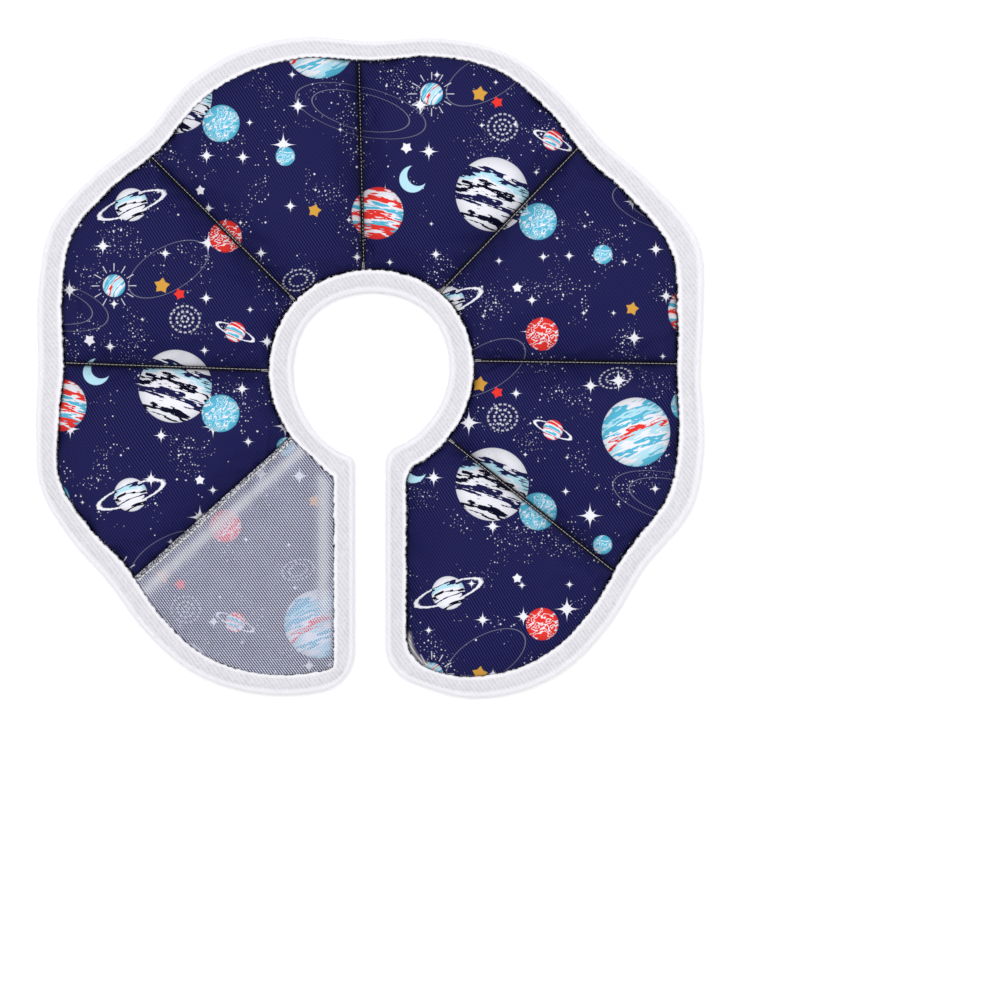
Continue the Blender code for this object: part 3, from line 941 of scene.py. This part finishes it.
# The pad: heights that roll up from the seams and the binding, swollen by the simulation, then puckered
def makeQuiltedPad(material):
    panelStops = drawnStops(pad["panelColumns"], pad["drawn"])
    rowStops = drawnStops(pad["rows"], pad["drawn"])
    grid, tucked = padGrid(panelStops, rowStops)
    columns = seamColumns(panelStops)
    edge, seam = padDistances(grid, columns)
    beside = np.maximum(seam - plan["seamFlat"] / 2, 0.0)
    full = roll(edge, pad["puffRoll"], pad["puffPower"]) * roll(beside, pad["puffRoll"], pad["puffPower"])
    rested = roll(edge, pad["underRoll"], pad["underPower"])
    rested = rested * roll(beside, pad["underRoll"], pad["underPower"])
    top = pressedTop + (pad["thickness"] - pressedTop) * full
    bottom = pressedBottom * (1.0 - rested)

    # Puckers: short folds that run away from the seams and the binding
    spot = np.concatenate((grid, np.zeros(grid.shape[:2] + (1,))), axis=-1)
    folds = lumps(spot, pad["puckerPitch"], 3) + 0.5 * lumps(spot, pad["puckerPitch"] / 2, 4) - 0.75
    near = np.minimum(beside, edge)
    reach = np.exp(-near / pad["puckerReach"]) * np.clip(near / 0.0012, 0.0, 1.0)
    wrinkles = pad["pucker"] * 2 * folds * reach + pad["sag"] * (lumps(spot, 0.034, 6) - 0.5) * full

    back = np.concatenate((grid, bottom[..., None]), axis=-1)
    low = pressedTop + (top - pressedTop) * pad["startFull"]
    front = np.concatenate((grid, low[..., None]), axis=-1)
    front = front + swollen(front, back, tucked, material)
    front[..., 2] += wrinkles
    size = top.size
    at = np.arange(size).reshape(top.shape)
    points = np.concatenate((front.reshape(-1, 3), back.reshape(-1, 3), *pressedEdges(tucked)))
    faces = padFaces(at, len(tucked))
    made = meshObject("quiltedPad", points, faces, material)
    print("pad top", round(float(front[..., 2].max()) * 1000, 2), "mm")
    shown = np.concatenate((np.ones(size), np.zeros(size + 2 * len(tucked))))
    pointAttribute(made, "front", shown)
    # Painted shade, mixed into the cloth's colour: darker beside the seams and along the binding's lip
    dark = np.zeros(len(points))
    folds = np.maximum(foldShadeAt(beside, *pad["grooveShade"]), foldShadeAt(edge, *pad["lipShade"]))
    dark[:size] = np.clip(folds, 0.0, 1.0).ravel()
    pointAttribute(made, "folded", dark)
    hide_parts("quilted_pad")
    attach(made, "root")
    print("quilted pad", len(faces), "faces")
    return front, columns


# The plush binding
binding = {
    "rimStops": 125,
    "neckStops": 31,
    "rowStops": 106,
    "lumpSize": 0.0011,
    "lumpRise": 0.00028,
    "lipPitch": 0.0034,
    "lipRise": 0.0005,
    "lipWander": 0.10,
    "fibres": {"rim": 47000, "neck": 17000},
    "fibreLength": 0.0010,
    "fibreWidth": 0.00013,
    "fibreLean": 0.9,
    "fibreSpan": (4.2, 22.6),
    "lengthRow": 10,
}
# Its folded section, round from its sewn edge on the back: how far in, as a share of its width, and its
# height in metres. fibreSpan and lengthRow count along these rows.
bindingSection = (
    (1.00, 0.0004),
    (0.96, 0.0000),
    (0.50, 0.0000),
    (0.16, 0.0000),
    (0.07, 0.0003),
    (0.015, 0.0012),
    (0.000, 0.0026),
    (0.015, 0.0040),
    (0.06, 0.0050),
    (0.13, 0.0055),
    (0.20, 0.0056),
    (0.27, 0.0053),
    (0.31, 0.0051),
    (0.36, 0.0053),
    (0.45, 0.0056),
    (0.56, 0.0058),
    (0.68, 0.0057),
    (0.78, 0.0055),
    (0.85, 0.0055),
    (0.91, 0.0059),
    (0.955, 0.0061),
    (0.99, 0.0057),
    (1.005, 0.0049),
    (0.995, 0.0042),
    (0.94, 0.0040),
    (0.55, 0.0039),
    (0.118, 0.0039),
    (0.118, 0.0013),
    (0.55, 0.0013),
    (0.96, 0.0013),
    (1.00, 0.0010),
)


# Plush: white with faint mottling and specks, soft and matt, and lighter where a painted highlight lies
def plushFinish(name, level):
    finish = Finish(name)
    place = finish.place()
    x, y, _ = finish.parts(place)
    patches = finish.noise(place, 0.16, 3.0, 0.6)
    felt = finish.noise(place, 0.85, 3.0, 0.7)
    fleck = ((finish.noise(place, 1.3, 1.0, 0.5) - 0.69) * 9.0).held()
    ribs = ((x * 0.80 + y * 0.60) * (2 * math.pi / 1.8)).math("SINE") * (patches - 0.2).held()
    shade = {step: linear(*(value + step for value in level)) for step in (0, -7, -28, 17)}
    paint = finish.mix((patches - 0.30) * 1.2, shade[0], shade[-7])
    paint = finish.mix(((felt - 0.46) * 4.0 + ribs * 2.2).held() * 0.55, paint, shade[-28])
    paint = finish.mix(fleck * 0.5, paint, linear(150, 149, 156))
    # A painted highlight: lighter along the rolled outside edge and the lip, where light falls
    bright = finish.attribute("bright")
    paint = finish.mix(bright, paint, shade[17])
    normal = finish.bump(felt * 0.0005 + finish.noise(place, 2.6, 2.0, 0.6) * 0.0002, 0.7)
    finish.shade(Base_Color=paint, Roughness=0.92, Normal=normal)
    return finish.shade(Specular_IOR_Level=0.1)


# The folded section carried along the whole edge, its lip wavy with tufts and its front lumpy with plush
def bindingSurface():
    rimStops = np.linspace(0.0, 1.0, binding["rimStops"])
    neckStops = np.linspace(0.0, 1.0, binding["neckStops"])
    rowStops = np.linspace(0.0, 1.0, binding["rowStops"])
    outside = closedLoop(sidesAt(0, rimStops, neckStops, rowStops))
    sewn = closedLoop(sidesAt(1, rimStops, neckStops, rowStops))
    section = np.array(bindingSection)
    along = lengthsAlong(np.concatenate((sewn, sewn[:1])))[:-1]
    turns = round(along[-1] / binding["lipPitch"])
    wave = 0.5 + 0.5 * np.sin(2 * math.pi * turns * along / along[-1])
    spot = np.column_stack((sewn, np.zeros(len(sewn))))
    tufts = 0.6 * lumps(spot, binding["lipPitch"] / 2, 13) + 0.4 * lumps(spot, binding["lipPitch"] / 4.5, 14)
    wave = 0.35 * wave + 1.1 * tufts
    crest = np.exp(-(((section[:, 0] - 0.98) / 0.05) ** 2)) * (section[:, 1] > 0.0041)
    inward = section[None, :, 0] + binding["lipWander"] * (wave[:, None] - 0.75) * crest[None]
    height = section[None, :, 1] + binding["lipRise"] * (wave[:, None] - 0.75) * crest[None]
    flat = outside[:, None] + inward[..., None] * (sewn - outside)[:, None]
    grid = np.concatenate((flat, height[..., None]), axis=-1)
    normal = gridNormals(grid, True, True)
    shown = np.clip((section[:, 1] - 0.0005) / 0.002, 0.0, 1.0)
    shown = shown * ((section[:, 1] > 0.0041) | (section[:, 0] < 0.1))
    rise = lumps(grid, binding["lumpSize"], 11) + 0.6 * lumps(grid, binding["lumpSize"] * 2.6, 12) - 0.8
    return grid + normal * (binding["lumpRise"] * rise * shown[None])[..., None]


# Painted highlight on the binding: how much lighter it is along its rolled outside edge and on its lip
def plushHighlightAt(inward):
    outer = np.clip((0.30 - inward) / 0.14, 0.0, 1.0)
    lip = np.clip((inward - 0.80) / 0.08, 0.0, 1.0)
    return outer * 0.70 + lip


def makeEdgeBinding(material, pileMaterial):
    grid = bindingSurface()
    at = np.arange(grid.shape[0] * grid.shape[1]).reshape(grid.shape[:2])
    faces = gridFaces(at, True, True)
    made = meshObject("edgeBinding", grid.reshape(-1, 3), faces, material)
    section = np.array(bindingSection)
    pointAttribute(made, "bright", np.broadcast_to(plushHighlightAt(section[:, 0]), grid.shape[:2]))
    piles = [makePile(name, grid, pileMaterial) for name in ("rim", "neck")]
    length = lengthsAlong(grid[:, binding["lengthRow"]])[-1]
    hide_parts("edge_binding")
    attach(made, "root")
    print("edge binding", len(faces), "faces")


# Short fibres that stand on the binding: slim pyramids at random places, leaning at random
def makePile(name, grid, material):
    picker = np.random.default_rng(21 if name == "rim" else 22)
    count = binding["fibres"][name]
    rimLength = len(seamRows) * (binding["rimStops"] + 1) + binding["rimStops"] + binding["rowStops"] - 2
    if name == "rim":
        row = picker.uniform(0, rimLength, count)
    else:
        row = picker.uniform(rimLength, grid.shape[0], count)
    section = np.array(bindingSection)
    reach = lengthsAlong(grid[100])
    low, high = np.interp(binding["fibreSpan"], np.arange(len(section)), reach)
    column = np.interp(picker.uniform(low, high, count), reach, np.arange(len(section)))
    rowAt, columnAt = row.astype(int), column.astype(int)
    rowNext = (rowAt + 1) % grid.shape[0]
    rowShare, columnShare = (row - rowAt)[:, None], (column - columnAt)[:, None]
    near = grid[rowAt, columnAt] * (1 - rowShare) + grid[rowNext, columnAt] * rowShare
    far = grid[rowAt, columnAt + 1] * (1 - rowShare) + grid[rowNext, columnAt + 1] * rowShare
    foot = near * (1 - columnShare) + far * columnShare
    normals = gridNormals(grid, True, True)
    area = np.roll(grid, -1, axis=0) - grid
    volume = (grid * np.cross(area, np.roll(grid, -1, axis=1) - grid)).sum()
    normal = normals[rowAt, columnAt] * (1 if volume > 0 else -1)
    lean = picker.normal(0.0, binding["fibreLean"] / 2, (count, 3))
    way = normal + lean
    way /= np.linalg.norm(way, axis=1, keepdims=True)
    side = np.cross(way, picker.normal(0.0, 1.0, (count, 3)))
    side /= np.linalg.norm(side, axis=1, keepdims=True)
    other = np.cross(way, side)
    length = binding["fibreLength"] * picker.uniform(0.45, 1.25, count)[:, None]
    width = binding["fibreWidth"] * picker.uniform(0.7, 1.2, count)[:, None]
    start = foot - 0.00012 * normal
    third = 2 * math.pi / 3
    base = [start + width / 2 * (math.cos(third * k) * side + math.sin(third * k) * other) for k in range(3)]
    bodies = np.stack((*base, start + length * way), axis=1)
    points, faces = joinedBodies(bodies, np.array([(0, 2, 1), (0, 1, 3), (1, 2, 3), (2, 0, 3)]))
    points[:, 2] = np.maximum(points[:, 2], 0.00002)
    made = meshObject(name + "Pile", points, faces, material, smooth=False)
    inward = np.interp(column, np.arange(len(section)), section[:, 0])
    pointAttribute(made, "bright", np.repeat(plushHighlightAt(inward), 4))
    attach(made, "root")
    print(name, "pile", len(faces), "faces")
    return made


# The hook sheet over the left end panel
hookSheet = {
    "wall": 0.0006,
    "hemWall": 0.0012,
    "hemWidth": 0.0024,
    "lift": 0.0003,
    "pitch": 1.09,
    "lean": 35.7,
    "clear": 0.15,
    "dense": 0.74,
    # Painted reflection bands beside the hem seam and beside the end: distance in and width
    "seamReflection": (0.0078, 0.0027),
    "endReflection": (0.0046, 0.0030),
    "hookFromEdge": 0.0016,
    "hookWidth": 0.00022,
}
# A hook's path: along the sheet and up from it, in metres
hookPath = ((0.0, -0.0001), (0.0, 0.00030), (0.00012, 0.00047), (0.00030, 0.00042))


# Hook tape: a thin knit that the cloth shows through, with a lattice of whitish knots, and painted
# reflections in bands beside the hem seam and the end, paler and less clear there
def hookFinish():
    finish = Finish("hookTape")
    place = finish.place()
    x, y, _ = finish.parts(place)
    lean = math.radians(hookSheet["lean"])
    turn = 2 * math.pi / hookSheet["pitch"]
    rows = ((x * math.cos(lean) + y * math.sin(lean)) * turn).math("SINE")
    knots = (y * turn).math("SINE")
    mesh = ((rows * 1.0 + knots * 0.45 + 0.30) * 1.4 - 0.35).held()
    cloudy = finish.noise(place, 0.10, 2.0, 0.5)
    specks = ((finish.noise(place, 1.5, 1.0, 0.5) - 0.46) * 9.0).held()
    hem = finish.attribute("hem")
    band = finish.attribute("band")
    paint = finish.mix(mesh, linear(178, 182, 218), linear(230, 232, 246))
    paint = finish.mix(hem, paint, finish.mix(specks, linear(70, 70, 90), linear(222, 222, 228)))
    # Painted reflection: paler and more opaque in the bands beside the hem seam and the end
    paint = finish.mix(band * 0.6, paint, linear(212, 211, 209))
    clear, dense = hookSheet["clear"], hookSheet["dense"]
    cover = clear + mesh * (dense - clear) + (cloudy - 0.5) * 0.12 + band * 0.44 + hem * 0.35
    alpha = cover.held() * (1.0 - finish.attribute("under"))
    normal = finish.bump(mesh * 0.00010, 0.4)
    finish.shade(Base_Color=paint, Roughness=0.45, Normal=normal, Alpha=alpha)
    return finish.shade(Specular_IOR_Level=0.35)


# The tape's hooks: a row of small canes at every knot, each a three-sided body along its path
def makeHooks(over, edge, material):
    lean = math.radians(hookSheet["lean"])
    pitch = hookSheet["pitch"] / 1000
    flat = over[..., :2].reshape(-1, 2)
    low, high = flat.min(axis=0), flat.max(axis=0)
    rows = np.arange(math.floor(low[1] / pitch), math.ceil(high[1] / pitch)) + 0.25
    reach = np.arange(math.floor((low[0] - 0.1) / pitch), math.ceil((high[0] + 0.1) / pitch)) + 0.25
    y = np.repeat(rows * pitch, len(reach))
    x = (np.tile(reach * pitch, len(rows)) - y * math.sin(lean)) / math.cos(lean)
    feet = np.column_stack((x, y))
    starts, stops = edge, np.roll(edge, -1, axis=0)
    crosses = (starts[None, :, 1] > y[:, None]) != (stops[None, :, 1] > y[:, None])
    rise = stops[:, 1] - starts[:, 1]
    share = (y[:, None] - starts[None, :, 1]) / np.where(rise == 0.0, 1.0, rise)[None]
    crossed = crosses & (x[:, None] < starts[None, :, 0] + share * (stops - starts)[None, :, 0])
    feet = feet[crossed.sum(axis=1) % 2 == 1]
    feet = feet[distanceToRuns(feet, starts, stops) > hookSheet["hookFromEdge"]]
    normals = gridNormals(over, False, False)
    normals = (normals * np.sign(normals[..., 2:])).reshape(-1, 3)
    blocks = np.array_split(feet, 12)
    nearest = [np.linalg.norm(block[:, None] - flat[None], axis=-1).argmin(axis=1) for block in blocks]
    nearest = np.concatenate(nearest)
    normal = normals[nearest]
    offset = feet - flat[nearest]
    height = over.reshape(-1, 3)[nearest, 2] - (normal[:, :2] * offset).sum(axis=1) / normal[:, 2]
    foot = np.column_stack((feet, height))
    along = np.array((math.sin(lean), -math.cos(lean), 0.0))
    side = np.cross(normal, along)
    path = np.array(hookPath)
    middle = foot[:, None] + path[None, :, :1] * along + path[None, :, 1:] * normal[:, None]
    turns = np.array((0.0, 2.0, 4.0)) * math.pi / 3
    turned = np.cos(turns)[None, None, :, None] * side[:, None, None]
    ring = turned + np.sin(turns)[None, None, :, None] * along
    bodies = (middle[:, :, None] + hookSheet["hookWidth"] / 2 * ring).reshape(len(foot), -1, 3)
    at = np.arange(3 * len(path)).reshape(len(path), 3)
    quads = gridFaces(at, closedAlong=True)
    faces = np.concatenate((quads[:, (0, 1, 2)], quads[:, (0, 2, 3)], at[:1, ::-1], at[-1:]))
    points, faces = joinedBodies(bodies, faces)
    made = meshObject("hooks", points, faces, material, smooth=False)
    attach(made, "root")
    print("hooks", len(foot), "bodies,", len(faces), "faces")


# Nylon: pale and slightly shiny
def nylonFinish():
    finish = Finish("nylonHooks")
    finish.shade(Base_Color=linear(218, 220, 232), Roughness=0.4)
    return finish.shade(Specular_IOR_Level=0.4)


# The tape: the pad's front over the end panel, lifted clear of it, thicker along the folded hem. Its lower
# face is clear, so that only the upper one is seen.
def makeHookSheet(front, columns, material):
    covered = front[columns[-1] - 1 :]
    under = covered + np.array((0.0, 0.0, hookSheet["lift"]))
    seamLine = front[columns[-1]]
    away = distanceToRuns(covered[..., :2].reshape(-1, 2), seamLine[:1, :2], seamLine[-1:, :2])
    away = away.reshape(covered.shape[:2])
    hem = np.clip((hookSheet["hemWidth"] - away) / 0.0006, 0.0, 1.0)
    wall = hookSheet["wall"] + (hookSheet["hemWall"] - hookSheet["wall"]) * hem
    over = under + np.stack((0 * wall, 0 * wall, wall), axis=-1)
    size = wall.size
    at = np.arange(size).reshape(wall.shape)
    loop = outlineOf(at)
    edges = gridFaces(np.stack((loop, loop + size)), closedAlong=True)
    faces = np.concatenate((gridFaces(at), gridFaces(at + size)[:, ::-1], edges))
    points = np.concatenate((over.reshape(-1, 3), under.reshape(-1, 3)))
    made = meshObject("hookSheet", points, faces, material)
    pointAttribute(made, "hem", np.concatenate((hem.ravel(), hem.ravel())))
    pointAttribute(made, "under", np.concatenate((np.zeros(size), np.ones(size))))
    # Painted reflections: bands beside the hem seam and beside the tape's end, where the sheet curves
    end = covered[-1, :, :2]
    ending = distanceToRuns(covered[..., :2].reshape(-1, 2), end[:-1], end[1:]).reshape(wall.shape)
    along = np.linspace(0.0, 1.0, wall.shape[1])
    taper = np.clip(along / 0.10, 0.0, 1.0) * np.clip((0.72 - along) / 0.12, 0.0, 1.0)
    beside = ((away, hookSheet["seamReflection"]), (ending, hookSheet["endReflection"]))
    bands = [np.exp(-(((reach - middle) / wide) ** 2)) for reach, (middle, wide) in beside]
    band = np.maximum(bands[0], bands[1] * taper[None])
    pointAttribute(made, "band", np.concatenate((band.ravel(), band.ravel())))
    extent = over.reshape(-1, 3).max(axis=0) - over.reshape(-1, 3).min(axis=0)
    a, b, c = over[:-1, :-1], over[1:, :-1], over[:-1, 1:]
    area = np.linalg.norm(np.cross(b - a, c - a), axis=-1).sum()
    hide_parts("hook_panel")
    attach(made, "root")
    print("hook sheet", len(faces), "faces", [round(value, 4) for value in extent], round(area, 5))
    makeHooks(over, outlineOf(over[..., :2]), nylonFinish())
    return over


# Sewing thread
thread = {
    "radius": 0.00015,
    "stitch": 0.00174,
    "pitch": 0.0018,
    "sides": 6,
    "tackLength": 0.0036,
    "tackApart": 0.0009,
    "aside": 0.00022,
    "hemSlim": 2.0,
    "hemColumn": 3,
}
# How far each seam's stitches stand out of the cloth, as shares of the thread's radius
threadShown = (0.9, 0.9, 0.9, -0.5, 0.5, 0.6)


# Twisted thread: two shades mixed by fine noise
def threadFinish(name, light, dark):
    finish = Finish(name)
    place = finish.place()
    twist = finish.noise(place, 2.6, 2.0, 0.5)
    paint = finish.mix(twist, linear(*light), linear(*dark))
    normal = finish.bump(twist * 0.0001, 0.4)
    return finish.shade(Base_Color=paint, Roughness=0.6, Normal=normal)


# One stitch after another along a line: each a slim round body whose radius falls towards its ends, which dip
# into the cloth
def stitches(name, starts, stops, material, slim=1.0):
    across = np.linspace(0.0, 1.0, 7)
    swell = np.sqrt(np.clip(1.0 - (2 * across - 1.0) ** 4, 0.0, 1.0)) * 0.92 + 0.08
    around = np.linspace(0.0, 2 * math.pi, thread["sides"], endpoint=False)
    way = stops - starts
    length = np.linalg.norm(way, axis=1, keepdims=True)
    way = way / length
    side = np.cross(way, (0.0, 0.0, 1.0))
    side /= np.linalg.norm(side, axis=1, keepdims=True)
    up = np.cross(side, way)
    middle = starts[:, None] + across[None, :, None] * (stops - starts)[:, None]
    dip = (2 * across - 1.0) ** 2 * thread["radius"] * 0.9
    middle = middle - dip[None, :, None] * up[:, None]
    radius = (thread["radius"] * slim * swell)[None, :, None, None]
    ring = np.cos(around)[None, None, :, None] * side[:, None, None]
    ring = ring + np.sin(around)[None, None, :, None] * up[:, None, None]
    bodies = (middle[:, :, None] + radius * ring).reshape(len(starts), -1, 3)
    tips = np.stack((middle[:, 0], middle[:, -1]), axis=1)
    bodies = np.concatenate((bodies, tips), axis=1)
    at = np.arange(len(across) * len(around)).reshape(len(across), len(around))
    quads = gridFaces(at, closedAlong=True)
    triangles = np.concatenate((quads[:, (0, 1, 2)], quads[:, (0, 2, 3)]))
    last = at.size
    near = np.column_stack((np.full(len(around), last), at[0], np.roll(at[0], -1)))
    far = np.column_stack((np.full(len(around), last + 1), np.roll(at[-1], -1), at[-1]))
    points, faces = joinedBodies(bodies, np.concatenate((triangles, near, far)))
    made = meshObject(name, points, faces, material)
    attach(made, "root")
    print(name, len(starts), "stitches")
    return made


# Where each stitch along a line starts and stops, at this height over it
def stitchRuns(line, pitch, stitch, rise):
    length = lengthsAlong(line)[-1]
    starts = np.arange(pitch * 0.3, length - stitch, pitch)
    lift = np.array((0.0, 0.0, rise))
    return pointsAt(line, starts) + lift, pointsAt(line, starts + stitch) + lift


# Stitches along the seams and the hem, and the tacks that end the seams
def makeThreads(front, columns, over, material, hemMaterial):
    runs = []
    for column, shown in zip(columns[:-1], threadShown):
        line = front[column]
        way = line[-1, :2] - line[0, :2]
        side = np.array((way[1], -way[0], 0.0)) / np.linalg.norm(way) * thread["aside"]
        runs.append(stitchRuns(line + side, thread["pitch"], thread["stitch"], thread["radius"] * shown))
    starts = np.concatenate([run[0] for run in runs])
    stops = np.concatenate([run[1] for run in runs])
    stitches("seamStitches", starts, stops, material)
    hemLine = over[thread["hemColumn"]]
    starts, stops = stitchRuns(hemLine, thread["pitch"] * 1.25, thread["stitch"], thread["radius"] * 0.9)
    stitches("hemStitches", starts, stops, hemMaterial, slim=thread["hemSlim"])

    # Bar tacks: two strands beside each other at the neck end of a seam
    tackStarts, tackStops = [], []
    for column in columns[:-1]:
        line = front[column]
        way = (line[-1] - line[0]) / np.linalg.norm(line[-1] - line[0])
        side = np.array((-way[1], way[0], 0.0)) * thread["tackApart"] / 2
        lift = np.array((0.0, 0.0, thread["radius"] * 1.5))
        for sign in (-1, 1):
            tackStarts.append(line[0] + 0.0004 * way + sign * side + lift)
            tackStops.append(line[0] + (0.0004 + thread["tackLength"]) * way + sign * side * 0.6 + lift)
    stitches("barTacks", np.array(tackStarts), np.array(tackStops), material)


makeCamera()
makeStudio()
front, columns = makeQuiltedPad(printedCloth())
makeEdgeBinding(plushFinish("plush", (224, 223, 228)), plushFinish("pile", (228, 227, 232)))
over = makeHookSheet(front, columns, hookFinish())
seamThread = threadFinish("seamThread", (214, 211, 210), (140, 137, 138))
makeThreads(front, columns, over, seamThread, threadFinish("hemThread", (246, 246, 246), (214, 214, 216)))
